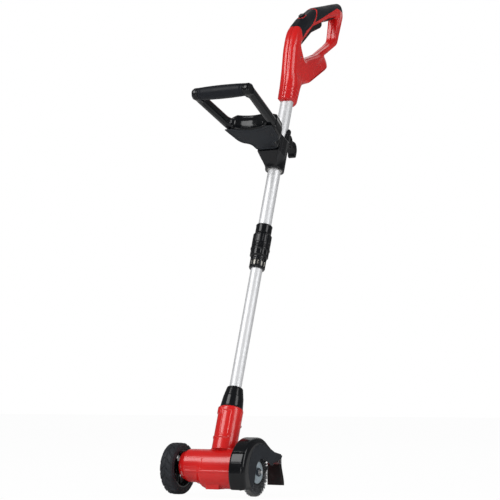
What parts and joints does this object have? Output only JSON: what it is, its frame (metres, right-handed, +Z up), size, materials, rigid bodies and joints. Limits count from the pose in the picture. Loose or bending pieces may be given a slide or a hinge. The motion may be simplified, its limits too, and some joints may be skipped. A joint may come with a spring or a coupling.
{
  "type": "joint weed brush",
  "caption": "Long-handled cordless patio weed brush: a wire brush under a guard and a guide wheel on a leaning telescopic pole, with a loop handle and a D-handle.",
  "frame": {"origin": "centre of the rear grip, on the tool's middle plane, where the operator's hand closes", "axes": "+X towards the brush side, +Y towards the operator, +Z up when the wheel and the brush stand on the ground"},
  "size_m": [0.2075, 0.6327, 1.1268],
  "materials": {
    "red_shell": "glossy moulded red",
    "soft_grip": "fine-textured soft grip",
    "black_gloss": "glossy moulded black",
    "dark_matte": "matte dark grey",
    "pale_plastic": "natural nylon",
    "tube": "satin anodised",
    "fastener": "zinc plated",
    "machine_steel": "ground",
    "winding": "copper tone",
    "housing": "as cast",
    "flange_steel": "pressed steel",
    "nut_steel": "blackened",
    "brush_wire": "crimped wire",
    "lead": "sheathed cable",
    "flap_rubber": "sheet rubber",
    "tread": "moulded tread"
  },
  "bodies": {
    "handle": {"handle_shell_left": "red_shell", "handle_shell_right": "red_shell", "handle_screws": "fastener", "grip_pad_front": "soft_grip", "grip_pad_rear": "soft_grip", "trigger_pin": "fastener", "trigger_spring": "fastener", "trigger_switch": "dark_matte", "terminal_block": "dark_matte", "contact_blades": "winding", "upper_tube": "tube", "tube_bolt": "fastener", "coiled_lead": "lead", "clamp_body": "black_gloss", "clamp_collet": "pale_plastic"},
    "trigger": {"trigger": "black_gloss"},
    "lock_off": {"lock_off_button": "black_gloss"},
    "clamp_nut": {"clamp_nut": "black_gloss"},
    "front_handle": {"front_handle_frame": "black_gloss", "front_grip_sleeve": "soft_grip", "web_cover": "dark_matte", "web_screws": "fastener", "bracket_collar": "black_gloss", "bracket_bushes": "pale_plastic", "collar_screws": "fastener", "lever_pin": "fastener", "pressure_pad": "pale_plastic"},
    "lever": {"clamp_lever": "black_gloss"},
    "lower_pole": {"lower_tube": "tube", "lower_lead": "lead", "cone_collar": "black_gloss", "neck_bolt": "fastener", "head_shell_front": "red_shell", "head_shell_rear": "red_shell", "head_screws": "fastener", "motor_can": "machine_steel", "motor_magnets": "machine_steel", "gear_housing": "housing", "spindle_bearings": "machine_steel", "brush_guard": "black_gloss", "guard_face_plate": "dark_matte", "guard_screws": "fastener", "mud_flap": "flap_rubber", "flap_strip": "fastener", "flap_rivets": "fastener", "wheel_axle": "fastener", "axle_washer": "fastener"},
    "motor": {"motor_armature": "winding", "motor_shaft": "machine_steel", "drive_pinion": "machine_steel"},
    "brush": {"drive_gear": "machine_steel", "output_spindle": "machine_steel", "inner_flange": "flange_steel", "brush_hub": "nut_steel", "wire_brush": "brush_wire", "outer_flange": "flange_steel", "brush_nut": "nut_steel"},
    "wheel": {"wheel_rim": "black_gloss", "tyre": "tread", "wheel_cap": "black_gloss"}
  },
  "joints": [
    {"name": "trigger_press", "type": "hinge", "parent": "handle", "child": "trigger", "pos_m": [0, -0.00481, -0.01849], "axis": [-1, 0, 0], "range_deg": [0, 3.5], "stiffness_Nm_per_rad": 4, "springref_deg": -1.72, "deforming": ["trigger_spring"]},
    {"name": "lock_off_press", "type": "slide", "parent": "handle", "child": "lock_off", "axis": [0, 0.5354, -0.8446], "range_m": [0, 0.003], "stiffness_N_per_m": 600, "springref_m": -0.001},
    {"name": "clamp_turn", "type": "hinge", "parent": "handle", "child": "clamp_nut", "pos_m": [0, -0.29996, -0.5934], "axis": [0, 0.3518, 0.9361], "range_deg": [0, 120]},
    {"name": "telescope", "type": "slide", "parent": "handle", "child": "lower_pole", "axis": [0, 0.3518, 0.9361], "range_m": [0, 0.18]},
    {"name": "bracket_slide", "type": "slide", "parent": "handle", "child": "front_handle", "axis": [0, 0.3518, 0.9361], "range_m": [-0.1, 0.04]},
    {"name": "lever_open", "type": "hinge", "parent": "front_handle", "child": "lever", "pos_m": [0, -0.16914, -0.32209], "axis": [1, 0, 0], "range_deg": [0, 75]},
    {"name": "wheel_spin", "type": "hinge", "parent": "lower_pole", "child": "wheel", "pos_m": [-0.1, -0.45552, -1.02331], "axis": [1, 0, 0], "continuous": true},
    {"name": "brush_spin", "type": "hinge", "parent": "lower_pole", "child": "brush", "pos_m": [0.06, -0.45552, -1.02682], "axis": [1, 0, 0], "continuous": true},
    {"name": "motor_spin", "type": "hinge", "parent": "lower_pole", "child": "motor", "pos_m": [-0.02, -0.45552, -1.01181], "axis": [1, 0, 0], "continuous": true}
  ],
  "couplings": [
    {"joint": "motor_spin", "follows": "brush_spin", "ratio": 4}
  ]
}
